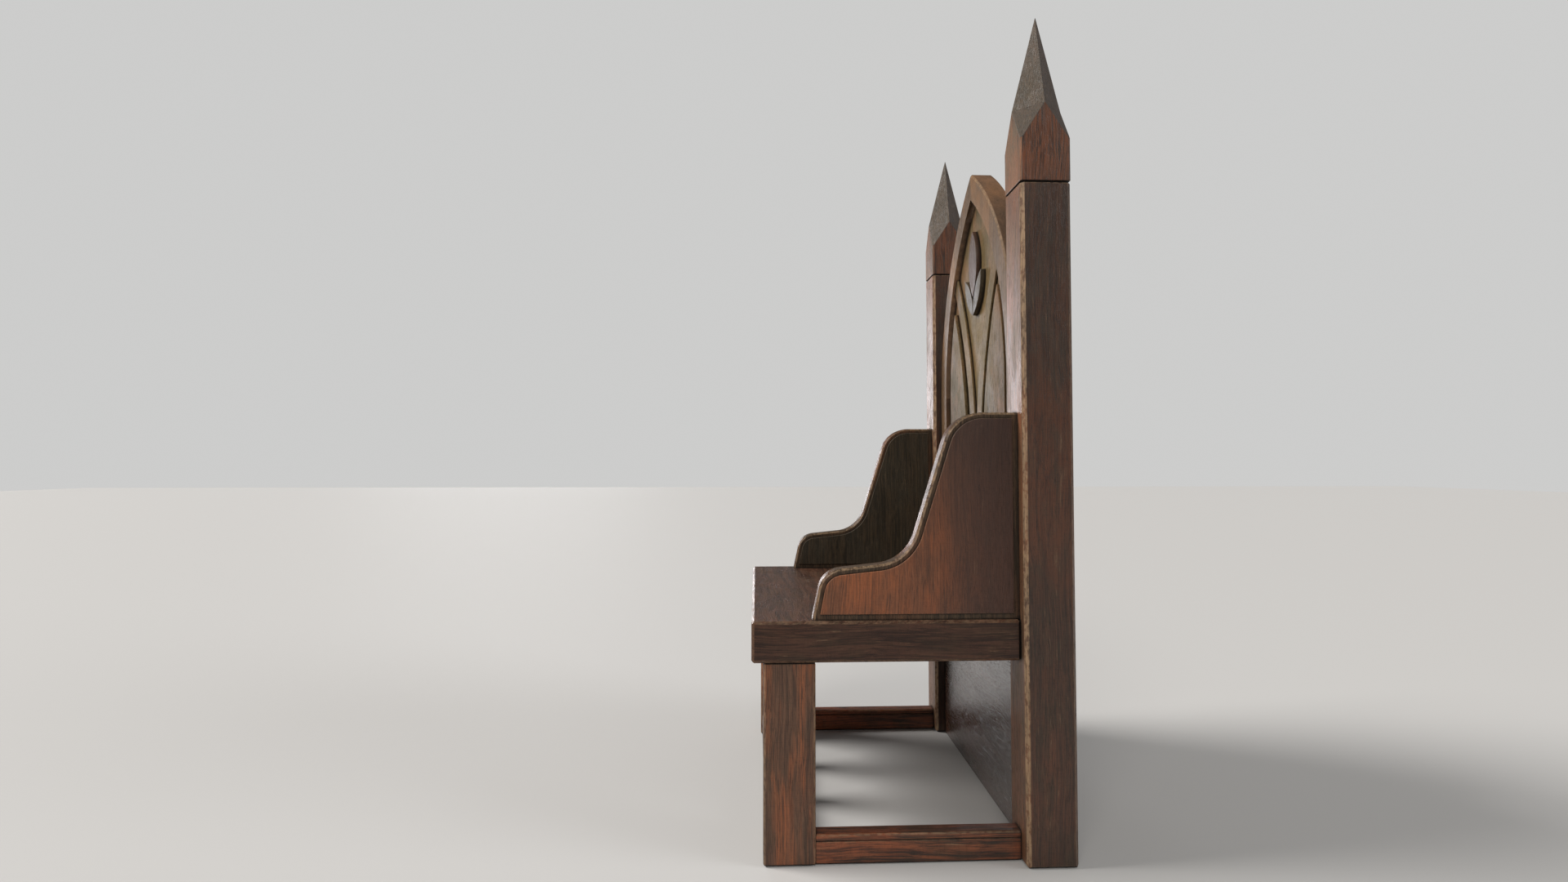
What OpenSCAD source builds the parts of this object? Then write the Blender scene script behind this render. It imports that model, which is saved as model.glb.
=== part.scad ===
// Gothic throne chair: a high-backed wooden seat with spired posts, a pointed arch back with raised
// tracery, scrolled board arms, and an apron pierced by three lancets.
// Millimetres. +Z is up, the front faces -Y, the floor is z = 0. The origin is the middle of the footprint.
// "left" is -X and "right" is +X. Each side piece is drawn on the right and mirrored for the left.

/* [Overall] */
// Width across the two posts
overall_w = 733; // [723:1:753]
// Depth from the front edge of the seat to the back of the posts
overall_d = 590; // [580:1:620]
// Height of the top of the seat
seat_h = 440; // [430:1:450]
// Thickness of the seat plank
seat_t = 75; // [65:1:80]

/* [Posts and finials] */
// Width of a post, side to side
post_w = 85; // [80:1:90]
// Depth of a post, front to back
post_d = 95; // [90:1:100]
// Height of a post up to the seam under its finial
post_h = 1250; // [1240:1:1270]
// Chamfer on the long edges of the posts
post_chamfer = 7; // [4:1:8]
// Height of a finial above the seam
finial_h = 335; // [320:1:350]
// Height of the finial's corners above the seam
shoulder_h = 75; // [65:1:85]
// Height above the seam at which the spire's ridges meet the faces
ridge_foot_h = 148; // [140:1:155]

/* [Back] */
// Height at which the arch starts to curve
arch_spring = 900; // [880:1:920]
// Distance from the middle of the chair to the centre of each arch curve
arch_centre = 329.5; // [320:0.5:340]
// Width of the arch frame
arch_limb = 50; // [45:1:55]
// Thickness of the arch frame
arch_t = 53; // [48:1:56]
// Shadow gap between the arch and each post
arch_gap = 3.5; // [2:0.5:5]
// How far the face of the arch lies behind the face of the posts
arch_setback = 19.5; // [15:0.5:25]
// How far the board lies behind the face of the arch
board_setback = 15; // [14:1:18]
// Thickness of the back board
board_t = 20; // [16:1:22]

/* [Arms] */
// Thickness of an arm board without its raised fields
arm_t = 32; // [28:1:34]
// How far each arm field stands out from the board
arm_field_t = 4; // [3:1:5]
// Width of the margin round an arm field
arm_margin = 11; // [9:1:14]

/* [Legs, rails and apron] */
// Width of a front leg
leg_w = 57; // [52:1:60]
// Depth of a front leg
leg_d = 95; // [90:1:100]
// Height of the bottom rails
rail_h = 54; // [50:1:58]
// Thickness of the side rails
side_rail_t = 32; // [28:1:36]
// Thickness of the front rail
front_rail_t = 54; // [50:1:56]
// Thickness of the apron board
apron_t = 26; // [24:1:28]
// Width of the raised frame round each lancet
lancet_frame_w = 21; // [18:1:21]
// Half of the width of a lancet opening
lancet_half_w = 65; // [60:1:65]

/* [Hidden] */

$fn = 128;
far = 3000;                               // longer than anything in the chair
nudge = 0.5;                              // lets a cutter run past the face that it cuts

right = 1;
left = -1;

// Colours of the timber
frame_brown = [0.27, 0.13, 0.07];
panel_brown = [0.30, 0.21, 0.11];
leaf_brown = [0.24, 0.12, 0.08];
peg_brown = [0.55, 0.40, 0.24];

// Posts
back_y = overall_d / 2;
post_front_y = back_y - post_d;
post_inner_x = overall_w / 2 - post_w;
post_x = overall_w / 2 - post_w / 2;
post_y = back_y - post_d / 2;
seam_ease = 1;
seam_gap = 4;                             // height of the shadow groove under a finial
seam_inset = 5;                           // and its depth
foot_ease = 5;

// Dowels and joints
dowel_r = 6;
dowel_l = 50;
tenon_t = 12;
tenon_h = 30;
tenon_l = 20;
tongue_l = 8;
arch_dowel_rises = [120, 380];            // heights above the seat
arm_dowel_rises = [110, 290];
arm_dowel_ys = [-130, -10, 110];

// Arch and board
arch_half_w = post_inner_x - arch_gap;
arch_opening_half_w = arch_half_w - arch_limb;
arch_face_y = post_front_y + arch_setback;
arch_back_y = arch_face_y + arch_t;
arch_mid_y = arch_face_y + arch_t / 2;
board_face_y = arch_face_y + board_setback;
board_housing = 8;
arch_ease = 4;
spline_size = [36, 10, 26];
spline_clear = 2;                         // between the head of the board and the spline above it
board_r = arch_centre + arch_opening_half_w + board_housing;
board_head_z = arch_spring + sqrt(board_r * board_r - arch_centre * arch_centre);
spline_mid_z = board_head_z + spline_clear + spline_size[2] / 2;

// Tracery on the board
rib_centre = 881;
rib_spring = 720;
rib_inner_x = 1;
rib_outer_x = 36;
rib_t = 7;
field_t = 10;
field_inner_x = 60;
field_outer_x = 201.5;
field_foot_z = seat_h + 17;
leaf_t = 12;
centre_leaf_foot_z = seat_h + 678;
centre_leaf_l = 157;
centre_leaf_half_w = 30;
side_leaf_foot_x = 0.5;
side_leaf_foot_z = seat_h + 635;
side_leaf_l = 112;
side_leaf_half_w = 18;
side_leaf_lean = 32;

// Seat
seat_half_w = 347;
seat_front_y = -back_y;
seat_under_z = seat_h - seat_t;
seat_ease = 5;
seat_clear = 0.5;
seat_lap = 20;                            // how far the plank's narrow back part runs into its wide part

// Lower back panel
low_panel_t = 22;
low_panel_setback = 26;
low_panel_y = post_front_y + low_panel_setback;
low_panel_tongue = 10;

// Legs
leg_outer_x = 341;
leg_inner_x = leg_outer_x - leg_w;
leg_setback = 22;
leg_front_y = seat_front_y + leg_setback;
leg_back_y = leg_front_y + leg_d;
leg_ease = 4;
leg_tenon = [30, 50, 25];

// Rails
rail_inset = 4;
rail_ease = 3;
bead_h = 12;
bead_groove = 3;
side_rail_x = leg_outer_x - rail_inset - side_rail_t / 2;
front_rail_y = leg_front_y + rail_inset;

// Apron
apron_overhang = 6;                       // how far the apron stands back over the front rail
apron_back_y = front_rail_y + front_rail_t + apron_overhang;
apron_face_y = apron_back_y - apron_t;
apron_frame_t = 7;
lancet_pitch = 173;
lancet_spring = 95;
lancet_lean = 23.5;                       // angle of the straight sides at a lancet's head
lancet_head_z = seat_under_z - 0.5;
lancet_outer_half_w = lancet_half_w + lancet_frame_w;
// The curves' centre that brings the straight sides of the frames together at lancet_head_z
lancet_centre =
  (lancet_head_z - lancet_spring - lancet_outer_half_w / sin(lancet_lean)) / tan(lancet_lean / 2);

// Arms
arm_x = 322;
arm_ease = 4;
arm_top_rise = 382;

// ---------- outlines ----------

function unit(v) = v / norm(v);

// The straight-sided outline p moved inwards by d, for an outline that runs anticlockwise.
function inset(p, d) = [
  for (i = [0 : len(p) - 1])
    let (
      n = len(p),
      u = unit(p[i] - p[(i + n - 1) % n]),
      v = unit(p[(i + 1) % n] - p[i]))
    p[i] + d * [-u[1] - v[1], u[0] + v[0]] / (1 + u * v)];

// Rounding the corner at b, between a and c, by radius r: the arc's centre, its two ends, and its sweep.
function corner_half_angle(a, b, c) = acos(unit(a - b) * unit(c - b)) / 2;
function corner_reach(a, b, c, r) = r / tan(corner_half_angle(a, b, c));
function corner_centre(a, b, c, r) =
  b + unit(unit(a - b) + unit(c - b)) * r / sin(corner_half_angle(a, b, c));
function corner_start(a, b, c, r) = b + unit(a - b) * corner_reach(a, b, c, r);
function corner_end(a, b, c, r) = b + unit(c - b) * corner_reach(a, b, c, r);
function corner_sweep(a, b, c) = 180 - 2 * corner_half_angle(a, b, c);

// What lies between a corner at b and the arc that rounds it, and a little past the corner.
module corner_waste(a, b, c, r) {
  centre = corner_centre(a, b, c, r);
  past = 0.2;
  difference() {
    polygon([corner_start(a, b, c, r), b + (b - centre) * past, corner_end(a, b, c, r), centre]);
    translate(centre) circle(r);
  }
}

// A pointed arch with straight sides up to its spring. Arches with the same centre and spring are parallel.
module pointed(half_w, centre, spring, foot) {
  r = centre + half_w;
  intersection() {
    translate([-centre, spring]) circle(r);
    translate([centre, spring]) circle(r);
    translate([-half_w, spring]) square([2 * half_w, r]);
  }
  translate([-half_w, foot]) square([2 * half_w, spring - foot]);
}

// A leaf from the origin up to [0, l], made of two arcs.
module leaf_outline(l, half_w) {
  r = (l * l / 4 + half_w * half_w) / (2 * half_w);
  intersection() {
    translate([r - half_w, l / 2]) circle(r);
    translate([half_w - r, l / 2]) circle(r);
  }
}

// ---------- shared shapes ----------

module on(side) {
  mirror([side == left ? 1 : 0, 0, 0]) children();
}

module chamfered_rect(w, h, c) {
  polygon([
    [-w / 2 + c, -h / 2], [w / 2 - c, -h / 2], [w / 2, -h / 2 + c], [w / 2, h / 2 - c],
    [w / 2 - c, h / 2], [-w / 2 + c, h / 2], [-w / 2, h / 2 - c], [-w / 2, -h / 2 + c]]);
}

// A block centred on the origin with all its edges eased.
module eased_block(size, ease) {
  intersection() {
    linear_extrude(size[2], center = true) chamfered_rect(size[0], size[1], ease);
    rotate([90, 0, 0]) linear_extrude(size[1], center = true) chamfered_rect(size[0], size[2], ease);
    rotate([90, 0, 90]) linear_extrude(size[0], center = true) chamfered_rect(size[1], size[2], ease);
  }
}

module block_between(low, high, ease) {
  translate((low + high) / 2) eased_block(high - low, ease);
}

// Cutters that chamfer both edges of a plate of thickness t, along a line or an arc drawn on it.
module chamfer_line(from, to, t, c) {
  step = to - from;
  for (z = [0, t]) {
    translate([from[0], from[1], z])
      rotate([0, 0, atan2(step[1], step[0])])
        rotate([90, 0, 90]) linear_extrude(norm(step)) rotate(45) square(c * sqrt(2), center = true);
  }
}

module chamfer_arc(centre, r, start, sweep, t, c) {
  for (z = [0, t]) {
    translate([centre[0], centre[1], z])
      rotate([0, 0, start])
        rotate_extrude(angle = sweep) translate([r, 0]) rotate(45) square(c * sqrt(2), center = true);
  }
}

module chamfer_corner(a, b, c, r, t, ease) {
  centre = corner_centre(a, b, c, r);
  sweep = corner_sweep(a, b, c);
  middle = atan2(b[1] - centre[1], b[0] - centre[0]);
  chamfer_arc(centre, r, middle - sweep / 2, sweep, t, ease);
}

module box_between(low, high) {
  translate(low) cube(high - low);
}

// Stands up what is drawn in X and Y, so that its height runs along Z and its back lies at y.
module stood_at(y) {
  translate([0, y, 0]) rotate([90, 0, 0]) children();
}

// A flat piece drawn in X and Z that stands with its front face at y and runs back by t.
module standing(y, t) {
  stood_at(y + t) linear_extrude(t) children();
}

module dowel(centre, axis) {
  translate(centre)
    rotate(axis == "x" ? [0, 90, 0] : axis == "y" ? [90, 0, 0] : [0, 0, 0])
      cylinder(r = dowel_r, h = dowel_l, center = true);
}

// ---------- dowel sets, drawn as pieces and cut as holes ----------

module finial_dowel_shape() {
  dowel([post_x, post_y, post_h], "z");
}

module arch_dowel_shapes() {
  for (rise = arch_dowel_rises) {
    dowel([post_inner_x - arch_gap / 2, arch_mid_y, seat_h + rise], "x");
  }
  dowel([arch_half_w - arch_limb / 2, arch_mid_y, seat_h], "z");
}

module arm_dowel_shapes() {
  for (y = arm_dowel_ys) {
    dowel([arm_x, y, seat_h], "z");
  }
  for (rise = arm_dowel_rises) {
    dowel([arm_x, post_front_y, seat_h + rise], "y");
  }
}

module seat_dowel_shapes() {
  for (side = [left, right]) {
    on(side) dowel([arm_x, post_front_y, seat_h - seat_t / 2], "y");
  }
}

// ---------- posts and finials ----------

// A post up to the groove under its finial.
module post_shaft() {
  low = [post_inner_x, post_front_y, 0];
  high = [post_inner_x + post_w, back_y, post_h - seam_gap];
  intersection() {
    translate([post_x, post_y, 0]) linear_extrude(post_h) chamfered_rect(post_w, post_d, post_chamfer);
    block_between(low, high + [0, 0, foot_ease], foot_ease);
    block_between(low - [0, 0, seam_ease], high, seam_ease);
  }
}

// The neck in the groove, which carries the finial.
module post_neck() {
  translate([post_x, post_y, post_h - seam_gap - nudge]) linear_extrude(seam_gap + nudge)
    chamfered_rect(post_w - 2 * seam_inset, post_d - 2 * seam_inset, post_chamfer / 2);
}

module post(side) {
  color(frame_brown) on(side) difference() {
    union() {
      post_shaft();
      post_neck();
    }
    finial_dowel_shape();
    arch_dowel_shapes();
    arm_dowel_shapes();
    seat_dowel_shapes();
    low_panel_shape();
    side_rail_tenons();
  }
}

// Two faces of a four-sided spire: a wedge whose ridge runs to the mid-faces of the post.
module spire_wedge(turn, apex, foot) {
  half_w = post_w / 2;
  half_d = post_d / 2;
  reach = half_w * half_d / norm([half_w, half_d]);
  base = reach * apex / (apex - foot);
  rotate([0, 0, turn * atan2(half_w, half_d)])
    rotate([90, 0, 0])
      linear_extrude(far, center = true)
        polygon([[-base, 0], [base, 0], [0, apex]]);
}

module spire(apex, foot) {
  intersection() {
    spire_wedge(1, apex, foot);
    spire_wedge(-1, apex, foot);
  }
}

module finial(side) {
  color(frame_brown) on(side) difference() {
    translate([post_x, post_y, post_h]) intersection() {
      linear_extrude(finial_h) chamfered_rect(post_w, post_d, post_chamfer / 2);
      block_between(
        [-post_w / 2, -post_d / 2, 0], [post_w / 2, post_d / 2, finial_h + seam_ease], seam_ease);
      union() {
        spire(finial_h, ridge_foot_h);
        spire(2 * ridge_foot_h - shoulder_h, ridge_foot_h);
      }
    }
    finial_dowel_shape();
  }
}

module finial_dowel(side) {
  color(peg_brown) on(side) finial_dowel_shape();
}

// ---------- back ----------

module back_arch(half_w, foot) {
  pointed(half_w, arch_centre, arch_spring, foot);
}

module board_shape() {
  standing(board_face_y, board_t) back_arch(arch_opening_half_w + board_housing, seat_h);
}

module spline_shape() {
  translate([0, arch_mid_y, spline_mid_z]) cube(spline_size, center = true);
}

module arch_half(side) {
  outer_r = arch_centre + arch_half_w;
  apex = acos(arch_centre / outer_r);
  color(frame_brown) on(side) difference() {
    standing(arch_face_y, arch_t) difference() {
      back_arch(arch_half_w, seat_h);
      back_arch(arch_opening_half_w, seat_h - nudge);
      translate([-far, 0]) square([far, far]);
    }
    stood_at(arch_back_y) {
      chamfer_line([arch_half_w, seat_h], [arch_half_w, arch_spring], arch_t, arch_ease);
      chamfer_arc([-arch_centre, arch_spring], outer_r, 0, apex, arch_t, arch_ease);
    }
    board_shape();
    spline_shape();
    arch_dowel_shapes();
  }
}

module arch_spline() {
  color(peg_brown) spline_shape();
}

module arch_dowels(side) {
  color(peg_brown) on(side) arch_dowel_shapes();
}

module back_board() {
  color(panel_brown) board_shape();
}

// The part of the board outside a line that runs up at x = edge_x and then curves out to the arch.
module outside_line(edge_x) {
  intersection() {
    translate([rib_centre, rib_spring]) circle(rib_centre - edge_x);
    translate([0, rib_spring]) square([rib_centre, far]);
  }
  translate([edge_x, seat_h]) square([rib_centre - edge_x, rib_spring - seat_h]);
}

module back_rib(side) {
  color(frame_brown) on(side) standing(board_face_y - rib_t, rib_t) intersection() {
    back_arch(arch_opening_half_w, seat_h);
    difference() {
      outside_line(rib_inner_x);
      outside_line(rib_outer_x);
    }
  }
}

module back_field(side) {
  color(panel_brown) on(side) standing(board_face_y - field_t, field_t) intersection() {
    back_arch(field_outer_x, field_foot_z);
    outside_line(field_inner_x);
  }
}

module leaf_centre() {
  color(leaf_brown) standing(board_face_y - leaf_t, leaf_t)
    translate([0, centre_leaf_foot_z]) leaf_outline(centre_leaf_l, centre_leaf_half_w);
}

module leaf_side(side) {
  color(leaf_brown) on(side) standing(board_face_y - leaf_t, leaf_t)
    translate([side_leaf_foot_x, side_leaf_foot_z]) rotate(-side_leaf_lean)
      leaf_outline(side_leaf_l, side_leaf_half_w);
}

module low_panel_shape() {
  reach = post_inner_x + low_panel_tongue;
  box_between([-reach, low_panel_y, 0], [reach, low_panel_y + low_panel_t, seat_under_z]);
}

module lower_back_panel() {
  color(panel_brown) low_panel_shape();
}

// ---------- seat ----------

module leg_tenon_shape() {
  translate([leg_outer_x - leg_w / 2, leg_front_y + leg_d / 2, seat_under_z + leg_tenon[2] / 2])
    cube(leg_tenon, center = true);
}

module seat_plank() {
  tongue_x = post_inner_x - seat_clear;
  color(frame_brown) difference() {
    union() {
      block_between(
        [-seat_half_w, seat_front_y, seat_under_z], [seat_half_w, post_front_y, seat_h], seat_ease);
      box_between([-tongue_x, post_front_y - seat_lap, seat_under_z], [tongue_x, arch_back_y, seat_h]);
    }
    for (side = [left, right]) {
      on(side) {
        leg_tenon_shape();
        arm_dowel_shapes();
        arch_dowel_shapes();
      }
    }
    seat_dowel_shapes();
  }
}

module seat_dowels() {
  color(peg_brown) seat_dowel_shapes();
}

// ---------- arms ----------

// The arm seen from the side: x is the distance from the post (negative in front) and y the height above
// the seat. Its three corners, from the top down, are rounded: a crest, a hollow and a knuckle.
arm_corners = [
  [0, 0], [0, arm_top_rise], [-121, arm_top_rise], [-207, 106.5], [-365, 90], [-383, 0]];
arm_radii = [75, 80, 46];

// The arm's outline drawn in by d all round. The hollow is filled out to its centre, then cut by a circle.
module arm_outline(d) {
  p = inset(arm_corners, d);
  hollow_r = arm_radii[1] + d;
  hollow = corner_centre(p[2], p[3], p[4], hollow_r);
  difference() {
    polygon([
      p[0], p[1], p[2], corner_start(p[2], p[3], p[4], hollow_r), hollow,
      corner_end(p[2], p[3], p[4], hollow_r), p[4], p[5]]);
    translate(hollow) circle(hollow_r);
    corner_waste(p[1], p[2], p[3], arm_radii[0] - d);
    corner_waste(p[3], p[4], p[5], arm_radii[2] - d);
  }
}

// Cutters along the arm's swept edge, from the post round to the seat.
module arm_edge_cutters() {
  p = arm_corners;
  rounded = [2 : 4];
  starts = [p[1], for (i = rounded) corner_end(p[i - 1], p[i], p[i + 1], arm_radii[i - 2])];
  ends = [for (i = rounded) corner_start(p[i - 1], p[i], p[i + 1], arm_radii[i - 2]), p[5]];
  for (i = [0 : len(starts) - 1]) {
    chamfer_line(starts[i], ends[i], arm_t, arm_ease);
  }
  for (i = rounded) {
    chamfer_corner(p[i - 1], p[i], p[i + 1], arm_radii[i - 2], arm_t, arm_ease);
  }
}

// Sets what is drawn flat into the arm's plane, standing on the seat against the post.
module arm_plate_frame(x) {
  translate([x, post_front_y, seat_h]) rotate([90, 0, 90]) children();
}

module arm_plate(x, t) {
  arm_plate_frame(x) linear_extrude(t) children();
}

module arm_board(side) {
  color(frame_brown) on(side) difference() {
    arm_plate(arm_x - arm_t / 2, arm_t) arm_outline(0);
    arm_plate_frame(arm_x - arm_t / 2) arm_edge_cutters();
    arm_dowel_shapes();
  }
}

module arm_field(side, outer) {
  x = outer ? arm_x + arm_t / 2 : arm_x - arm_t / 2 - arm_field_t;
  color(panel_brown) on(side) arm_plate(x, arm_field_t) arm_outline(arm_margin);
}

module arm_dowels(side) {
  color(peg_brown) on(side) arm_dowel_shapes();
}

// ---------- legs, rails and apron ----------

module leg(side) {
  color(frame_brown) on(side) {
    difference() {
      block_between([leg_inner_x, leg_front_y, 0], [leg_outer_x, leg_back_y, seat_under_z], leg_ease);
      apron_tongues();
      front_rail_tenons();
      side_rail_tenons();
    }
    leg_tenon_shape();
  }
}

module side_rail_tenons() {
  x = side_rail_x - tenon_t / 2;
  z = (rail_h - bead_h - tenon_h) / 2;
  box_between([x, leg_back_y - tenon_l, z], [x + tenon_t, leg_back_y + nudge, z + tenon_h]);
  box_between([x, post_front_y - nudge, z], [x + tenon_t, post_front_y + tenon_l, z + tenon_h]);
}

// A rail of length l along X and thickness t, with a groove under a top bead on the faces at grooved_ys.
module beaded_rail(l, t, grooved_ys) {
  rotate([90, 0, 90]) linear_extrude(l, center = true) difference() {
    translate([t / 2, rail_h / 2]) chamfered_rect(t, rail_h, rail_ease);
    for (y = grooved_ys) {
      translate([y, rail_h - bead_h]) polygon([
        [-bead_groove, 0], [0, -bead_groove / 2], [bead_groove, 0], [0, bead_groove / 2]]);
    }
  }
}

module side_rail(side) {
  color(frame_brown) on(side) {
    translate([leg_outer_x - rail_inset, (leg_back_y + post_front_y) / 2, 0])
      rotate([0, 0, 90]) beaded_rail(post_front_y - leg_back_y, side_rail_t, [0, side_rail_t]);
    side_rail_tenons();
  }
}

module front_rail_tenons() {
  y = front_rail_y + front_rail_t / 2 - tenon_t / 2;
  z = (rail_h - bead_h - tenon_h) / 2;
  for (side = [left, right]) {
    on(side) box_between(
      [leg_inner_x - nudge, y, z], [leg_inner_x + tenon_l, y + tenon_t, z + tenon_h]);
  }
}

module front_rail() {
  color(frame_brown) {
    translate([0, front_rail_y, 0]) beaded_rail(2 * leg_inner_x, front_rail_t, [0]);
    front_rail_tenons();
  }
}

// A lancet whose sides curve in from the spring and then run straight to the apex.
module lancet(half_w, foot) {
  r = lancet_centre + half_w;
  shoulder_x = r * cos(lancet_lean) - lancet_centre;
  shoulder_z = lancet_spring + r * sin(lancet_lean);
  intersection() {
    pointed(half_w, lancet_centre, lancet_spring, foot);
    translate([-half_w, foot]) square([2 * half_w, shoulder_z - foot]);
  }
  polygon([
    [-shoulder_x, shoulder_z], [shoulder_x, shoulder_z], [0, shoulder_z + shoulder_x / tan(lancet_lean)]]);
}

module apron_tongues() {
  y = (apron_face_y + apron_back_y - tenon_t) / 2;
  for (side = [left, right]) {
    on(side) box_between(
      [leg_inner_x - nudge, y, rail_h], [leg_inner_x + tongue_l, y + tenon_t, seat_under_z]);
  }
}

module apron_board() {
  color(frame_brown) {
    difference() {
      box_between([-leg_inner_x, apron_face_y, rail_h], [leg_inner_x, apron_back_y, seat_under_z]);
      for (i = [-1 : 1]) {
        translate([i * lancet_pitch, 0, 0]) standing(apron_face_y - nudge, apron_t + 2 * nudge)
          lancet(lancet_half_w, rail_h - nudge);
      }
    }
    apron_tongues();
  }
}

module apron_frame(i) {
  color(frame_brown) translate([i * lancet_pitch, 0, 0])
    standing(apron_face_y - apron_frame_t, apron_frame_t) difference() {
      lancet(lancet_outer_half_w, rail_h);
      lancet(lancet_half_w, rail_h - nudge);
    }
}

// ---------- the chair ----------

post(left);  // post_left
post(right);  // post_right
finial(left);  // finial_left
finial(right);  // finial_right
finial_dowel(left);  // finial_dowel_left
finial_dowel(right);  // finial_dowel_right
arch_half(left);  // arch_left
arch_half(right);  // arch_right
arch_spline();
back_board();
back_rib(left);  // back_rib_left
back_rib(right);  // back_rib_right
back_field(left);  // back_field_left
back_field(right);  // back_field_right
leaf_centre();
leaf_side(left);  // leaf_left
leaf_side(right);  // leaf_right
arch_dowels(left);  // arch_dowels_left
arch_dowels(right);  // arch_dowels_right
lower_back_panel();
seat_plank();
seat_dowels();
arm_board(left);  // arm_left
arm_board(right);  // arm_right
arm_field(left, true);  // arm_field_outer_left
arm_field(right, true);  // arm_field_outer_right
arm_field(left, false);  // arm_field_inner_left
arm_field(right, false);  // arm_field_inner_right
arm_dowels(left);  // arm_dowels_left
arm_dowels(right);  // arm_dowels_right
leg(left);  // leg_left
leg(right);  // leg_right
front_rail();
side_rail(left);  // side_rail_left
side_rail(right);  // side_rail_right
apron_board();
apron_frame(-1);  // apron_frame_left
apron_frame(0);  // apron_frame_centre
apron_frame(1);  // apron_frame_right
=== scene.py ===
"""Looks for the Gothic throne chair: old stained wood with grain, patina, worn edges and painted light and
shade, on a pale floor.

Metres, Z up. The front of the chair faces -Y, and the origin is the middle of its footprint.
"""

import math
from typing import NamedTuple

import bpy
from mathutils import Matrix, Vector


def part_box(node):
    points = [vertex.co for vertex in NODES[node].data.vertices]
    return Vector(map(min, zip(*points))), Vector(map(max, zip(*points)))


MM = 0.001

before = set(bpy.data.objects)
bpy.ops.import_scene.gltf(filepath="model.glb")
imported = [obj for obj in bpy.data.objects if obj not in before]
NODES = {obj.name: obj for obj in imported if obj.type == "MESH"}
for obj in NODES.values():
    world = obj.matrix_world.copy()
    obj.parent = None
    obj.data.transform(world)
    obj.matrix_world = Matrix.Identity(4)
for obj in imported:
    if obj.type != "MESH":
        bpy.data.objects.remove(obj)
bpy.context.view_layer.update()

# ---------------------------------------------------------------- places taken from the frame

SEAT_LOW, SEAT_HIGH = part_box("seat_plank")
ARM_LOW, ARM_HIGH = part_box("arm_right")
BOARD_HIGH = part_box("back_board")[1]

# ---------------------------------------------------------------- node helpers

# data type of a mix node, then the numbers of its two value inputs and of its output
MIX_COLOURS = ("RGBA", 6, 7, 2)
MIX_VECTORS = ("VECTOR", 4, 5, 1)


class Tree:
    """Short calls that add and link the nodes of one material."""

    def __init__(self, name):
        self.material = bpy.data.materials.new(name)
        self.material.use_nodes = True
        self.nodes = self.material.node_tree.nodes
        self.links = self.material.node_tree.links
        self.nodes.clear()
        places = self.add("ShaderNodeTexCoord")
        self.coordinates = places.outputs["Object"]
        self.facing = places.outputs["Normal"]

    def add(self, kind, **settings):
        node = self.nodes.new(kind)
        for name, value in settings.items():
            setattr(node, name, value)
        return node

    def feed(self, socket, value):
        """Links value to the socket if it is another node's output, and otherwise sets it."""
        if isinstance(value, bpy.types.NodeSocket):
            self.links.new(value, socket)
        else:
            socket.default_value = value

    def math(self, operation, a, b=0.0, clamp=False):
        node = self.add("ShaderNodeMath", operation=operation, use_clamp=clamp)
        for socket, value in zip(node.inputs, (a, b)):
            self.feed(socket, value)
        return node.outputs[0]

    def times(self, a, b):
        return self.math("MULTIPLY", a, b)

    def stretch(self, vector, scale):
        node = self.add("ShaderNodeVectorMath", operation="MULTIPLY")
        self.feed(node.inputs[0], vector)
        self.feed(node.inputs[1], scale)
        return node.outputs[0]

    def shift(self, vector, offset):
        node = self.add("ShaderNodeVectorMath", operation="ADD")
        self.feed(node.inputs[0], vector)
        self.feed(node.inputs[1], offset)
        return node.outputs[0]

    def noise(self, vector, cells, detail, roughness, output="Fac"):
        """Noise with that many cells to the metre."""
        node = self.add("ShaderNodeTexNoise")
        self.feed(node.inputs["Vector"], vector)
        node.inputs["Scale"].default_value = cells
        node.inputs["Detail"].default_value = detail
        node.inputs["Roughness"].default_value = roughness
        return node.outputs[output]

    def ramp(self, value, low, high, low_out=0.0, high_out=1.0):
        """A smooth step from low_out at low to high_out at high."""
        node = self.add("ShaderNodeMapRange", interpolation_type="SMOOTHSTEP")
        self.feed(node.inputs["Value"], value)
        node.inputs["From Min"].default_value = low
        node.inputs["From Max"].default_value = high
        node.inputs["To Min"].default_value = low_out
        node.inputs["To Max"].default_value = high_out
        return node.outputs["Result"]

    def mix(self, sockets, amount, below, above):
        """Goes from below at amount 0 to above at amount 1, by the sockets of one data type."""
        data_type, first, second, result = sockets
        node = self.add("ShaderNodeMix", data_type=data_type)
        self.feed(node.inputs[0], amount)
        self.feed(node.inputs[first], below)
        self.feed(node.inputs[second], above)
        return node.outputs[result]

    def blend(self, amount, below, above):
        return self.mix(MIX_COLOURS, amount, below, above)

    def blend_vectors(self, amount, below, above):
        return self.mix(MIX_VECTORS, amount, below, above)

    def joined(self, x, y, z):
        node = self.add("ShaderNodeCombineXYZ")
        for socket, value in zip(node.inputs, (x, y, z)):
            self.feed(socket, value)
        return node.outputs[0]

    def spot(self, centre, reach, inner, outer):
        """1 within inner of the centre, fading to 0 at outer. reach scales each axis, and 0 leaves it out."""
        node = self.add("ShaderNodeVectorMath", operation="DISTANCE")
        self.feed(node.inputs[0], self.stretch(self.coordinates, reach))
        self.feed(node.inputs[1], tuple(c * r for c, r in zip(centre, reach)))
        return self.ramp(node.outputs["Value"], inner, outer, 1.0, 0.0)

    def part(self, vector, axis):
        node = self.add("ShaderNodeSeparateXYZ")
        self.feed(node.inputs[0], vector)
        return node.outputs[axis]

    def squarely(self, axis):
        """How squarely a face looks along the axis, either way: 0 is not at all, and 1 is straight."""
        return self.math("ABSOLUTE", self.part(self.facing, axis))


def rgb(red, green, blue):
    return (red, green, blue, 1.0)


# ---------------------------------------------------------------- wood

# dark dirt in pores and checks, also used as painted shade in recesses
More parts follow.
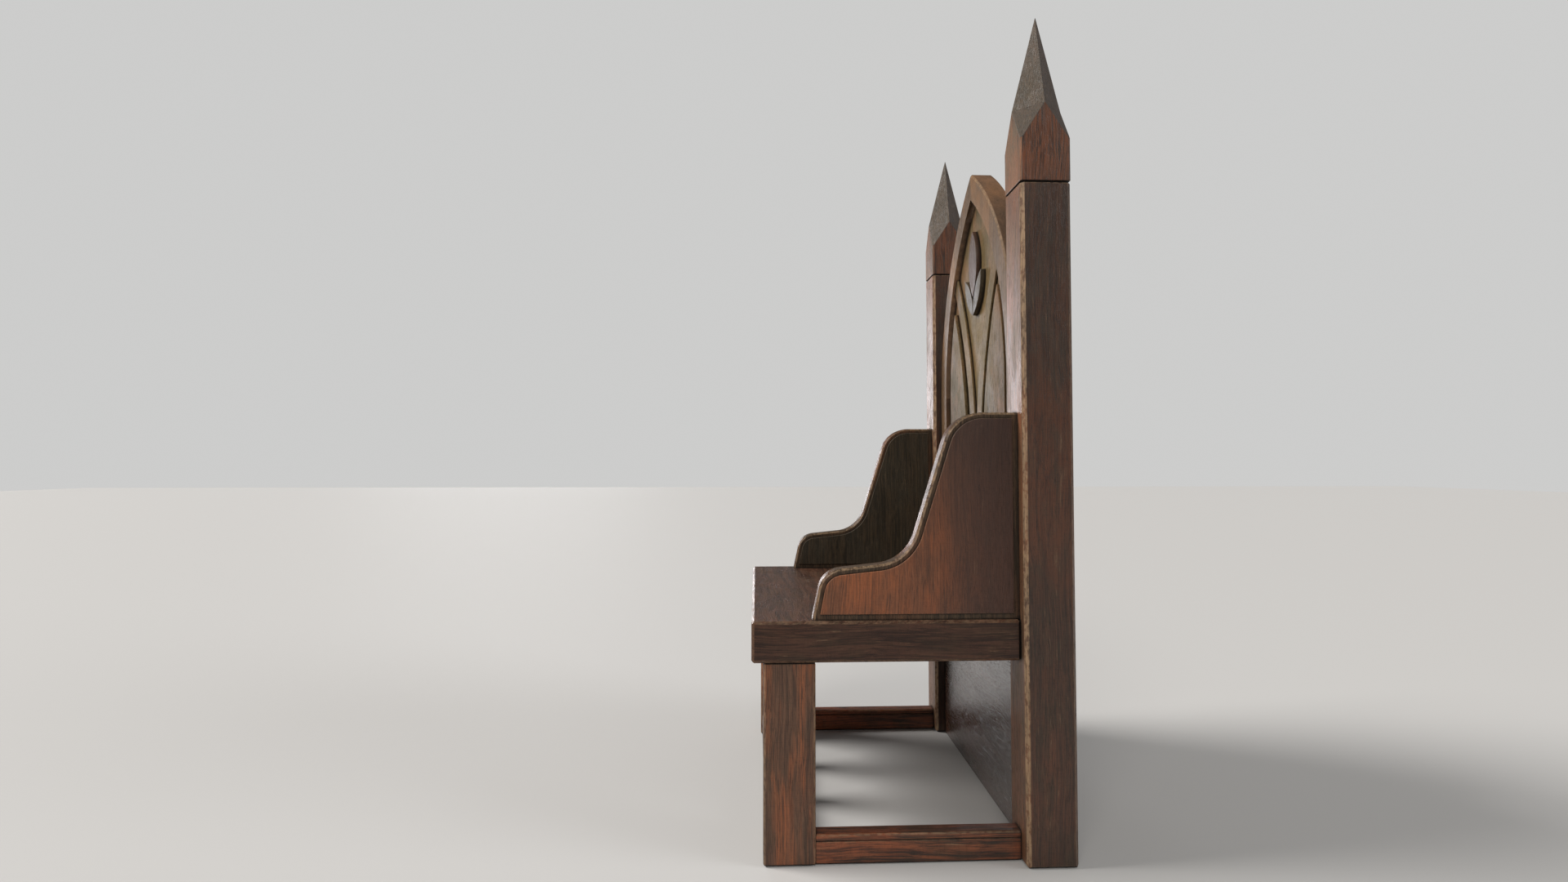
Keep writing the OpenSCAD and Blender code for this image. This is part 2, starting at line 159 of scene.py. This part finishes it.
DIRT_AND_SHADE = rgb(0.010, 0.008, 0.006)
RUBBED = rgb(0.40, 0.27, 0.16)


class Layer(NamedTuple):
    """One layer of noise in the wood: its cells per metre, and how far they are squeezed in each direction.
    A small squeeze makes long cells."""

    cells: float
    detail: float
    roughness: float
    lengthways: float
    sideways: float = 1.0


CLOUDS = Layer(cells=6.0, detail=4.0, roughness=0.6, lengthways=0.4)
WAVES = Layer(cells=8.0, detail=2.0, roughness=0.55, lengthways=0.4)
BLOTCHES = Layer(cells=26.0, detail=6.0, roughness=0.72, lengthways=0.5)
BANDS = Layer(cells=110.0, detail=3.0, roughness=0.6, lengthways=0.035)
RUB_PATCHES = Layer(cells=150.0, detail=5.0, roughness=0.66, lengthways=0.5)
CHECKS = Layer(cells=360.0, detail=3.0, roughness=0.62, lengthways=1.0, sideways=0.16)
FIBRES = Layer(cells=400.0, detail=4.0, roughness=0.66, lengthways=0.016)
PORES = Layer(cells=780.0, detail=2.0, roughness=0.6, lengthways=0.05)

# where each mask starts and where it is full, in the noise's own 0 to 1
FIBRE_TONE = (0.40, 0.60)
OPEN_PORES = (0.55, 0.66)
OPEN_CHECKS = (0.50, 0.68)
BARE_FIBRES = (0.60, 0.70)
BARE_PATCHES = (0.46, 0.60)
FRESH_CLOUDS = (0.44, 0.66)
AGED_BLOTCHES = (0.42, 0.68)
RUBBED_PATCHES = (0.36, 0.56)

# how squarely a face looks along an axis where a change tied to facing starts and where it is full
FRONT_FACES = (-0.4, -0.9)
SIDE_FACES = (0.5, 0.9)
MITRED_ENDS = (0.6, 0.8)

# how far a fibre is pushed sideways, and the noise's middle, which is taken off first
WAVE_PUSH = 0.035
NOISE_MIDDLE = 0.5

# how strongly bare streaks, dirty pores and dirty checks show
BARE_SHOWS = 0.30
PORES_SHOW = 0.45
CHECKS_SHOW = 0.15

CORNER_REACH = 2.5 * MM
SHELTER_REACH = 10.0 * MM
RELIEF = 1.1 * MM
LOOKUPS = 6

SEED_STEP = 0.37
SEED_SPREAD = (1.7, 2.3, 3.1)


def along(axis, length, side=1.0):
    """A scale vector: length on one axis, and side on the other two."""
    return tuple(length if letter == axis else side for letter in "XYZ")


def layer(tree, place, grain, kind, output="Fac"):
    squeezed = tree.stretch(place, along(grain, kind.lengthways, kind.sideways))
    return tree.noise(squeezed, kind.cells, kind.detail, kind.roughness, output)


def grain_place(tree, side_grain):
    """The place in the wood, moved by each piece's own seed. With side_grain, faces that look along X
    show fibres along Y, as on a plank with a mitred edge."""
    seed = tree.add("ShaderNodeAttribute", attribute_type="OBJECT", attribute_name="wood_seed")
    number = seed.outputs["Fac"]
    offset = tree.stretch(tree.joined(number, number, number), SEED_SPREAD)
    place = tree.shift(tree.coordinates, offset)
    if side_grain:
        looks_along_x = tree.ramp(tree.squarely("X"), *MITRED_ENDS)
        turned = tree.joined(tree.part(place, "Y"), tree.part(place, "X"), tree.part(place, "Z"))
        place = tree.blend_vectors(looks_along_x, place, turned)
    return place


def rubbed_mask(tree, place, grain, face):
    """Where hands and cloth have rubbed the stain off: chamfers of faces that look along the face axis,
    and the sharp edges round them, in patches."""
    share = tree.math("POWER", tree.part(tree.facing, face), 2.0)
    chamfer = tree.times(tree.times(share, tree.math("SUBTRACT", 1.0, share)), 4.0)
    rounded = tree.add("ShaderNodeBevel", samples=LOOKUPS)
    rounded.inputs["Radius"].default_value = CORNER_REACH
    agree = tree.add("ShaderNodeVectorMath", operation="DOT_PRODUCT")
    tree.feed(agree.inputs[0], rounded.outputs[0])
    tree.feed(agree.inputs[1], tree.add("ShaderNodeNewGeometry").outputs["Normal"])
    corner = tree.ramp(agree.outputs["Value"], 0.995, 0.92)
    either = tree.math("MAXIMUM", tree.ramp(chamfer, 0.55, 0.95), tree.times(corner, 0.8))
    patches = layer(tree, place, grain, RUB_PATCHES)
    return tree.times(either, tree.ramp(patches, *RUBBED_PATCHES))


def wood(
    name,
    grain,
    face,
    dark,
    mid,
    bright,
    aged,
    aged_share=0.5,
    bright_share=0.45,
    rubbed=RUBBED,
    rubbed_share=0.4,
    rubbed_behind=1.0,
    contrast=1.0,
    gloss=0.0,
    varnish=0.0,
    shine=0.36,
    front=None,
    flank=None,
    side_grain=False,
    tint=None,
):
    """Old stained wood. grain is the axis of the fibres and face the axis its broad faces look along.
    dark and mid are the fibres, bright is stain that is still fresh, aged is dust and old varnish.
    rubbed_behind is how much of the rubbing is left on faces that look backwards.
    front and flank, where given, scale the colour of faces that look forwards and sideways, as painted light
    and shade.
    tint, where given, takes (tree, fibres, colour) and returns the colour with that part's own patches, some
    of them painted light and shade."""
    tree = Tree(name)
    place = grain_place(tree, side_grain)

    # slow sideways waves bend the fibres, as they do round knots
    wave = layer(tree, place, grain, WAVES, output="Color")
    bend = tree.stretch(tree.shift(wave, (-NOISE_MIDDLE,) * 3), along(grain, 0.0, WAVE_PUSH))
    bent = tree.shift(place, bend)

    # from wide to fine: growth bands, fibres, pores, then checks across the grain
    bands = layer(tree, bent, grain, BANDS)
    fibres = layer(tree, bent, grain, FIBRES)
    pores = layer(tree, bent, grain, PORES)
    checks = layer(tree, place, grain, CHECKS)

    # then the uneven stain, in wide clouds and in smaller blotches
    clouds = layer(tree, place, grain, CLOUDS)
    blotches = layer(tree, place, grain, BLOTCHES)

    both = tree.math("ADD", tree.times(fibres, 0.6), tree.times(bands, 0.4))
    fibre_tone = tree.ramp(both, *FIBRE_TONE)
    pore_mask = tree.ramp(pores, *OPEN_PORES)
    bare_mask = tree.times(tree.ramp(fibres, *BARE_FIBRES), tree.ramp(blotches, *BARE_PATCHES))
    check_mask = tree.ramp(checks, *OPEN_CHECKS)

    colour = tree.blend(fibre_tone, dark, mid)
    fresh = tree.times(tree.ramp(clouds, *FRESH_CLOUDS), bright_share)
    fresh = tree.times(fresh, tree.ramp(fibres, 0.30, 0.60, 0.35, 1.0))
    colour = tree.blend(fresh, colour, bright)
    colour = tree.blend(tree.times(tree.ramp(blotches, *AGED_BLOTCHES), aged_share), colour, aged)
    if tint is not None:
        colour = tint(tree, fibres, colour)
    # painted light and shade: faces that look forwards and sideways get their colour scaled
    if front is not None:
        looks_forwards = tree.ramp(tree.part(tree.facing, "Y"), *FRONT_FACES)
        colour = tree.blend(looks_forwards, colour, tree.stretch(colour, front))
    if flank is not None:
        looks_sideways = tree.ramp(tree.squarely("X"), *SIDE_FACES)
        colour = tree.blend(looks_sideways, colour, tree.stretch(colour, flank))
    colour = tree.blend(tree.times(bare_mask, BARE_SHOWS * contrast), colour, rubbed)
    colour = tree.blend(tree.times(pore_mask, PORES_SHOW * contrast), colour, DIRT_AND_SHADE)
    colour = tree.blend(tree.times(check_mask, CHECKS_SHOW * contrast), colour, DIRT_AND_SHADE)

    rub = rubbed_mask(tree, place, grain, face)
    shelter = tree.add("ShaderNodeAmbientOcclusion", samples=LOOKUPS)
    shelter.inputs["Distance"].default_value = SHELTER_REACH
    open_air = shelter.outputs["AO"]
    rub = tree.times(rub, tree.ramp(open_air, 0.55, 0.82, 0.15, 1.0))
    looks_back = tree.ramp(tree.part(tree.facing, "Y"), 0.1, 0.5, 1.0, rubbed_behind)
    rub = tree.times(rub, looks_back)
    streaked = tree.blend(tree.times(tree.ramp(fibres, 0.62, 0.40), 0.45), rubbed, dark)
    colour = tree.blend(tree.times(rub, rubbed_share), colour, streaked)
    # painted shade: corners and recesses that the ambient occlusion finds are darkened
    painted_shade = tree.times(tree.ramp(open_air, 0.80, 0.54), 0.94)
    colour = tree.blend(painted_shade, colour, DIRT_AND_SHADE)

    height = tree.math("ADD", tree.times(fibres, 0.8), tree.times(bands, 0.4))
    height = tree.math("SUBTRACT", height, tree.times(pore_mask, 0.30))
    height = tree.math("SUBTRACT", height, tree.times(check_mask, 0.12))
    height = tree.math("ADD", height, tree.times(blotches, 0.7))
    bump = tree.add("ShaderNodeBump")
    end_grain = tree.ramp(tree.squarely(grain), 0.25, 0.70, 0.65, 0.20)
    tree.feed(bump.inputs["Strength"], end_grain)
    bump.inputs["Distance"].default_value = RELIEF
    tree.feed(bump.inputs["Height"], height)

    sheen = tree.ramp(blotches, 0.35, 0.68, 0.34 - gloss, 0.50 - gloss)
    sheen = tree.math("ADD", sheen, tree.times(pore_mask, 0.16))
    sheen = tree.math("ADD", sheen, tree.times(rub, 0.16))
    sheen = tree.math("ADD", sheen, tree.times(painted_shade, 0.30), clamp=True)

    shader = tree.add("ShaderNodeBsdfPrincipled")
    tree.feed(shader.inputs["Base Color"], colour)
    tree.feed(shader.inputs["Roughness"], sheen)
    tree.feed(shader.inputs["Normal"], bump.outputs["Normal"])
    shader.inputs["IOR"].default_value = 1.50
    shader.inputs["Specular IOR Level"].default_value = shine
    shader.inputs["Coat Weight"].default_value = varnish
    shader.inputs["Coat Roughness"].default_value = 0.22
    tree.feed(shader.inputs["Coat Normal"], bump.outputs["Normal"])
    surface = tree.add("ShaderNodeOutputMaterial")
    tree.feed(surface.inputs["Surface"], shader.outputs[0])
    return tree.material


# ---------------------------------------------------------------- each part's own patches of colour, and painted light and shade

# the arm's glow: its middle, as a share of the arm's depth and a height over its foot, and its size
ARM_GLOW_BACK = 0.36
ARM_GLOW_UP = 0.09
ARM_GLOW_INNER = 0.04
ARM_GLOW_OUTER = 0.29

# how far in front of the arm's back end its darker colour starts and is full
ARM_DARK_STARTS = 0.24
ARM_DARK_FULL = 0.05

# how far the painted highlight high on the board is under its head, and its size
TOP_HIGHLIGHT_DOWN = 0.30
TOP_HIGHLIGHT_INNER = 0.02
TOP_HIGHLIGHT_OUTER = 0.34

# how high over the seat the painted shade at the board's foot starts and is full
FOOT_SHADE_STARTS = 0.46
FOOT_SHADE_FULL = 0.04

# how far under the seat the apron's painted shade starts and is full, and the heights of its glow
SEAT_SHADE_STARTS = 0.055
SEAT_SHADE_FULL = 0.02
APRON_GLOW_STARTS = 0.14
APRON_GLOW_FULL = 0.27

BROWN_DARK = rgb(0.040, 0.024, 0.018)
BROWN = rgb(0.100, 0.050, 0.032)
RED_BROWN = rgb(0.170, 0.062, 0.032)
ORANGE = rgb(0.340, 0.105, 0.038)
OLIVE = rgb(0.110, 0.088, 0.050)
OLIVE_DARK = rgb(0.050, 0.042, 0.028)
# dark dust, darkened further as painted shade on the spire's slopes
DUST_AND_SHADE = rgb(0.030, 0.024, 0.019)
SCUFF = rgb(0.110, 0.082, 0.060)
TAN = rgb(0.300, 0.190, 0.110)
PURPLE_BROWN = rgb(0.050, 0.026, 0.020)
RUST = rgb(0.230, 0.120, 0.070)
DULL_GREEN = rgb(0.062, 0.050, 0.028)
YELLOW_GREEN = rgb(0.215, 0.148, 0.062)
ORANGE_BROWN = rgb(0.240, 0.100, 0.050)


def dusty_shaded_spire(tree, fibres, colour):
    """The sloping faces of a spire hold dust with pale scuffs, darkened further as painted shade, and the
    sides of its block are painted orange as painted light.
    """
    # painted shade: the dark dust on the sloping faces also stands for their shade
    slope = tree.ramp(tree.part(tree.facing, "Z"), 0.06, 0.16)
    scuffs = tree.ramp(tree.noise(tree.coordinates, 55.0, 5.0, 0.7), 0.56, 0.72)
    dust_and_shade = tree.blend(tree.times(scuffs, 0.5), tree.blend(0.72, colour, DUST_AND_SHADE), SCUFF)
    # painted light: faces that look sideways are painted orange
    sideways = tree.ramp(tree.squarely("X"), *SIDE_FACES)
    glow = tree.times(sideways, tree.ramp(fibres, 0.36, 0.60, 0.0, 0.34))
    block = tree.blend(glow, colour, ORANGE)
    return tree.blend(slope, block, dust_and_shade)


def glowing_arm(tree, fibres, colour):
    """Orange low down at the front of the arm, and darker purple-brown towards the post."""
    glow_y = ARM_LOW.y + ARM_GLOW_BACK * (ARM_HIGH.y - ARM_LOW.y)
    low_front = (0.0, glow_y, ARM_LOW.z + ARM_GLOW_UP)
    glow = tree.spot(low_front, (0.0, 0.75, 1.0), ARM_GLOW_INNER, ARM_GLOW_OUTER)
    clouds = tree.noise(tree.stretch(tree.coordinates, (1.0, 1.0, 0.4)), 22.0, 4.0, 0.6)
    patches = tree.ramp(clouds, 0.36, 0.60, 0.45, 1.0)
    streaks = tree.times(tree.ramp(fibres, 0.32, 0.60, 0.35, 1.0), patches)
    colour = tree.blend(tree.times(tree.times(glow, streaks), 0.95), colour, ORANGE)
    backwards = tree.part(tree.coordinates, "Y")
    behind = tree.ramp(backwards, ARM_HIGH.y - ARM_DARK_STARTS, ARM_HIGH.y - ARM_DARK_FULL)
    return tree.blend(tree.times(behind, 0.85), colour, PURPLE_BROWN)


def green_board(tree, fibres, colour):
    """A painted yellow-green highlight high in the middle of the back, and painted shade that darkens it near
    the seat.
    """
    stains = tree.noise(tree.stretch(tree.coordinates, (1.0, 1.0, 0.6)), 14.0, 5.0, 0.66)
    colour = tree.blend(tree.ramp(stains, 0.50, 0.66, 0.0, 0.65), colour, RUST)
    colour = tree.blend(tree.ramp(stains, 0.48, 0.34, 0.0, 0.55), colour, DULL_GREEN)
    # painted highlight: a yellow-green glow high in the middle of the board
    high_middle = (0.0, 0.0, BOARD_HIGH.z - TOP_HIGHLIGHT_DOWN)
    varnish = tree.spot(high_middle, (1.3, 0.0, 0.8), TOP_HIGHLIGHT_INNER, TOP_HIGHLIGHT_OUTER)
    painted_highlight = tree.times(varnish, tree.ramp(fibres, 0.36, 0.62, 0.45, 0.8))
    colour = tree.blend(painted_highlight, colour, YELLOW_GREEN)
    # painted shade: the board darkens towards the seat
    height = tree.part(tree.coordinates, "Z")
    painted_foot_shade = tree.ramp(height, SEAT_HIGH.z + FOOT_SHADE_STARTS, SEAT_HIGH.z + FOOT_SHADE_FULL)
    return tree.blend(tree.times(painted_foot_shade, 0.78), colour, OLIVE_DARK)


def apron_patches(tree, fibres, colour):
    """Painted shade in dark olive under the seat, and orange-red between the lancets."""
    height = tree.part(tree.coordinates, "Z")
    # painted shade: dark olive just under the seat's overhang
    under_seat_shade = tree.ramp(height, SEAT_LOW.z - SEAT_SHADE_STARTS, SEAT_LOW.z - SEAT_SHADE_FULL)
    middle = tree.ramp(height, APRON_GLOW_STARTS, APRON_GLOW_FULL)
    glow = tree.times(middle, tree.ramp(fibres, 0.36, 0.60, 0.3, 0.85))
    colour = tree.blend(tree.times(glow, 0.6), colour, ORANGE_BROWN)
    return tree.blend(tree.times(under_seat_shade, 0.8), colour, OLIVE_DARK)


def warm_leg(tree, fibres, colour):
    """Orange streaks down the middle of the leg."""
    upright = tree.stretch(tree.coordinates, (1.0, 1.0, 0.12))
    streaks = tree.ramp(tree.noise(upright, 34.0, 3.0, 0.6), 0.44, 0.62)
    glow = tree.times(streaks, tree.ramp(fibres, 0.32, 0.6, 0.0, 0.7))
    return tree.blend(glow, colour, ORANGE)


def streaked_front(tree, fibres, colour):
    """Bare tan streaks run along the front of the plank, where knees and hands pass."""
    looks_forwards = tree.ramp(tree.part(tree.facing, "Y"), -0.5, -0.9)
    level = tree.stretch(tree.coordinates, (0.05, 1.0, 1.0))
    streaks = tree.ramp(tree.noise(level, 120.0, 4.0, 0.6), 0.50, 0.64)
    bare = tree.times(streaks, tree.ramp(fibres, 0.36, 0.56, 0.15, 0.50))
    return tree.blend(tree.times(bare, looks_forwards), colour, TAN)


POST = dict(dark=BROWN_DARK, mid=BROWN, bright=RED_BROWN, aged=OLIVE_DARK, aged_share=0.4)
# front and flank below are painted light and shade on faces that look forwards and sideways
WOODS = {
    "post": dict(
        POST,
        grain="Z",
        face="X",
        mid=rgb(0.082, 0.039, 0.024),
        bright=rgb(0.150, 0.052, 0.026),
        rubbed_share=0.75,
        rubbed_behind=0.25,
        front=(2.6, 2.5, 2.1),
    ),
    "leg": dict(
        grain="Z",
        face="X",
        dark=rgb(0.066, 0.034, 0.022),
        mid=rgb(0.150, 0.075, 0.044),
        bright=RED_BROWN,
        bright_share=0.8,
        aged=OLIVE_DARK,
        aged_share=0.4,
        contrast=0.7,
        front=(0.62, 0.66, 0.66),
        tint=warm_leg,
    ),
    "finial": dict(
        POST,
        grain="Z",
        face="X",
        mid=rgb(0.088, 0.040, 0.024),
        rubbed_share=0.06,
        contrast=0.5,
        front=(2.2, 2.4, 2.1),
        tint=dusty_shaded_spire,
    ),
    "arch": dict(
        grain="Z",
        face="Y",
        dark=rgb(0.086, 0.052, 0.033),
        mid=rgb(0.140, 0.083, 0.050),
        bright=rgb(0.260, 0.128, 0.058),
        bright_share=0.75,
        aged=OLIVE_DARK,
        aged_share=0.3,
        gloss=-0.02,
        shine=0.18,
        contrast=0.5,
        front=(1.15, 1.15, 1.0),
    ),
    "board": dict(
        grain="Z",
        face="Y",
        dark=OLIVE_DARK,
        mid=rgb(0.130, 0.092, 0.052),
        bright=rgb(0.190, 0.095, 0.052),
        aged=OLIVE,
        aged_share=0.55,
        gloss=-0.10,
        shine=0.08,
        tint=green_board,
    ),
    "leaf_centre": dict(
        grain="Z",
        face="Y",
        dark=rgb(0.036, 0.020, 0.015),
        mid=rgb(0.077, 0.042, 0.029),
        bright=rgb(0.100, 0.042, 0.026),
        aged=OLIVE,
        aged_share=0.2,
    ),
    "leaf_side": dict(
        grain="Z",
        face="Y",
        dark=rgb(0.032, 0.025, 0.016),
        mid=rgb(0.075, 0.056, 0.034),
        bright=rgb(0.086, 0.054, 0.031),
        aged=OLIVE,
        aged_share=0.3,
    ),
    "seat": dict(
        grain="X",
        face="Z",
        dark=rgb(0.042, 0.022, 0.016),
        mid=rgb(0.118, 0.057, 0.037),
        bright=rgb(0.178, 0.066, 0.035),
        aged=OLIVE,
        aged_share=0.2,
        gloss=0.08,
        rubbed_share=0.22,
        shine=0.26,
        front=(1.25, 1.25, 1.1),
        flank=(0.68, 0.64, 0.62),
        side_grain=True,
        tint=streaked_front,
    ),
    "arm": dict(
        grain="Z",
        face="X",
        dark=rgb(0.042, 0.028, 0.018),
        mid=rgb(0.115, 0.070, 0.042),
        bright=rgb(0.210, 0.080, 0.036),
        aged=OLIVE_DARK,
        aged_share=0.5,
        rubbed_share=0.5,
        shine=0.24,
        front=(1.25, 1.0, 0.95),
    ),
    "arm_field": dict(
        grain="Z",
        face="X",
        dark=rgb(0.066, 0.035, 0.023),
        mid=rgb(0.140, 0.068, 0.040),
        bright=rgb(0.230, 0.078, 0.036),
        aged=OLIVE_DARK,
        aged_share=0.3,
        contrast=0.7,
        tint=glowing_arm,
    ),
    # darker than the outer field: partly its own darker stain, partly painted shade
    "arm_field_inner": dict(
        grain="Z",
        face="X",
        dark=rgb(0.026, 0.022, 0.015),
        mid=rgb(0.072, 0.052, 0.032),
        bright=rgb(0.120, 0.060, 0.034),
        aged=OLIVE_DARK,
        aged_share=0.7,
    ),
    "apron": dict(POST, grain="Z", face="Y", front=(0.64, 0.60, 0.58), tint=apron_patches),
    "lancet": dict(
        POST,
        grain="Z",
        face="Y",
        mid=rgb(0.150, 0.090, 0.055),
        bright=rgb(0.220, 0.100, 0.050),
        front=(0.62, 0.66, 0.66),
    ),
    "front_rail": dict(POST, grain="X", face="Y", mid=rgb(0.125, 0.070, 0.044), front=(0.62, 0.57, 0.54)),
    "side_rail": dict(
        POST,
        grain="Y",
        face="X",
        mid=rgb(0.250, 0.082, 0.038),
        bright=rgb(0.380, 0.095, 0.032),
        bright_share=0.95,
    ),
    "panel": dict(POST, grain="X", face="Y", bright_share=0.7, gloss=0.18, shine=0.9, varnish=1.0),
    "peg": dict(
        grain="Y",
        face="X",
        dark=rgb(0.22, 0.15, 0.08),
        mid=rgb(0.42, 0.30, 0.18),
        bright=rgb(0.48, 0.33, 0.20),
        aged=OLIVE,
        aged_share=0.1,
    ),
}

# which wood each CAD node is, by how its name starts; the first match counts
NODE_WOODS = [
    ("post", "post"),
    ("finial_dowel", "peg"),
    ("finial", "finial"),
    ("arch_spline", "peg"),
    ("arch_dowels", "peg"),
    ("arch", "arch"),
    ("back", "board"),
    ("leaf_centre", "leaf_centre"),
    ("leaf", "leaf_side"),
    ("lower_back_panel", "panel"),
    ("seat_dowels", "peg"),
    ("seat", "seat"),
    ("arm_dowels", "peg"),
    ("arm_field_inner", "arm_field_inner"),
    ("arm_field", "arm_field"),
    ("arm", "arm"),
    ("leg", "leg"),
    ("front_rail", "front_rail"),
    ("side_rail", "side_rail"),
    ("apron_board", "apron"),
    ("apron_frame", "lancet"),
]


def dress_all():
    materials = {kind: wood(kind + "_wood", **settings) for kind, settings in WOODS.items()}
    for number, name in enumerate(sorted(NODES)):
        kind = next(wood_kind for start, wood_kind in NODE_WOODS if name.startswith(start))
        piece = NODES[name]
        piece.data.materials.clear()
        piece.data.materials.append(materials[kind])
        piece["wood_seed"] = SEED_STEP * (number + 1)


dress_all()

# ---------------------------------------------------------------- eased edges

EASED = 1.2 * MM
EASED_STEPS = 2
SPLIT_GAP = 0.02 * MM
FLAT_ANGLE = math.radians(0.5)
SHARP_ANGLE = math.radians(28)


def ease(obj):
    """Joins the split faces of a CAD mesh, flattens its triangles away and rounds its sharp edges."""
    weld = obj.modifiers.new("weld", "WELD")
    weld.merge_threshold = SPLIT_GAP
    flatten = obj.modifiers.new("flatten", "DECIMATE")
    flatten.decimate_type = "DISSOLVE"
    flatten.angle_limit = FLAT_ANGLE
    rounding = obj.modifiers.new("round", "BEVEL")
    rounding.width = EASED
    rounding.segments = EASED_STEPS
    rounding.limit_method = "ANGLE"
    rounding.angle_limit = SHARP_ANGLE
    rounding.harden_normals = False
    rounding.miter_outer = "MITER_ARC"


for name in sorted(NODES):
    ease(NODES[name])

# ---------------------------------------------------------------- floor, light and camera

FLOOR_WIDTH = 40.0
FLOOR_DROP = 0.5 * MM
FLOOR_GREY = 0.58

# how strongly the surroundings light the wood, and how bright the camera sees them
WORLD_LIGHT = 0.19
WORLD_SEEN = 0.62

CAMERA_PLACE = (1.6342, -0.2862, 0.7274)
CAMERA_YAW = 0.039
CAMERA_PITCH = 0.0314
CAMERA_LENS = 16.206


def floor():
    bpy.ops.mesh.primitive_plane_add(size=FLOOR_WIDTH, location=(0.0, 0.0, -FLOOR_DROP))
    plane = bpy.context.object
    plane.name = "studio_floor"
    material = bpy.data.materials.new("studio_floor")
    material.use_nodes = True
    shader = material.node_tree.nodes["Principled BSDF"]
    shader.inputs["Base Color"].default_value = rgb(FLOOR_GREY, FLOOR_GREY, FLOOR_GREY)
    shader.inputs["Roughness"].default_value = 0.75
    plane.data.materials.append(material)


def sun(name, towards, power, spread, tint=(1.0, 1.0, 1.0)):
    """A broad soft light that comes from the direction towards, as from a large softbox far away."""
    data = bpy.data.lights.new(name, "SUN")
    data.energy = power
    data.angle = math.radians(spread)
    data.color = tint
    light = bpy.data.objects.new(name, data)
    light.rotation_euler = Vector(towards).to_track_quat("Z", "Y").to_euler()
    bpy.context.scene.collection.objects.link(light)


def studio():
    """Pale surroundings that look brighter to the camera than they light the wood."""
    world = bpy.data.worlds.new("studio")
    world.use_nodes = True
    nodes = world.node_tree.nodes
    links = world.node_tree.links
    background = nodes["Background"]
    background.inputs["Color"].default_value = rgb(0.98, 0.98, 0.97)
    seen = nodes.new("ShaderNodeLightPath")
    strength = nodes.new("ShaderNodeMapRange")
    strength.inputs["To Min"].default_value = WORLD_LIGHT
    strength.inputs["To Max"].default_value = WORLD_SEEN
    links.new(seen.outputs["Is Camera Ray"], strength.inputs["Value"])
    links.new(strength.outputs["Result"], background.inputs["Strength"])
    bpy.context.scene.world = world
    bpy.context.scene.view_settings.view_transform = "Standard"
    sun("key", (-0.15, -1.0, 0.90), 2.8, 25.0, (1.0, 0.96, 0.91))
    sun("side", (1.0, -0.35, 0.85), 0.95, 35.0, (1.0, 0.94, 0.86))
    sun("glare", (-1.0, -0.34, 0.07), 0.85, 20.0, (0.96, 0.96, 1.0))
    sun("back", (0.3, 1.0, 0.5), 0.8, 25.0)


def camera():
    data = bpy.data.cameras.new("camera")
    data.sensor_width = 36.0
    data.lens = CAMERA_LENS
    data.clip_start = 0.05
    view = bpy.data.objects.new("camera", data)
    level = math.cos(CAMERA_PITCH)
    forward = Vector((-math.cos(CAMERA_YAW) * level, math.sin(CAMERA_YAW) * level, math.sin(CAMERA_PITCH)))
    view.location = CAMERA_PLACE
    view.rotation_euler = forward.to_track_quat("-Z", "Y").to_euler()
    bpy.context.scene.collection.objects.link(view)
    bpy.context.scene.camera = view


floor()
studio()
camera()

bpy.context.view_layer.update()
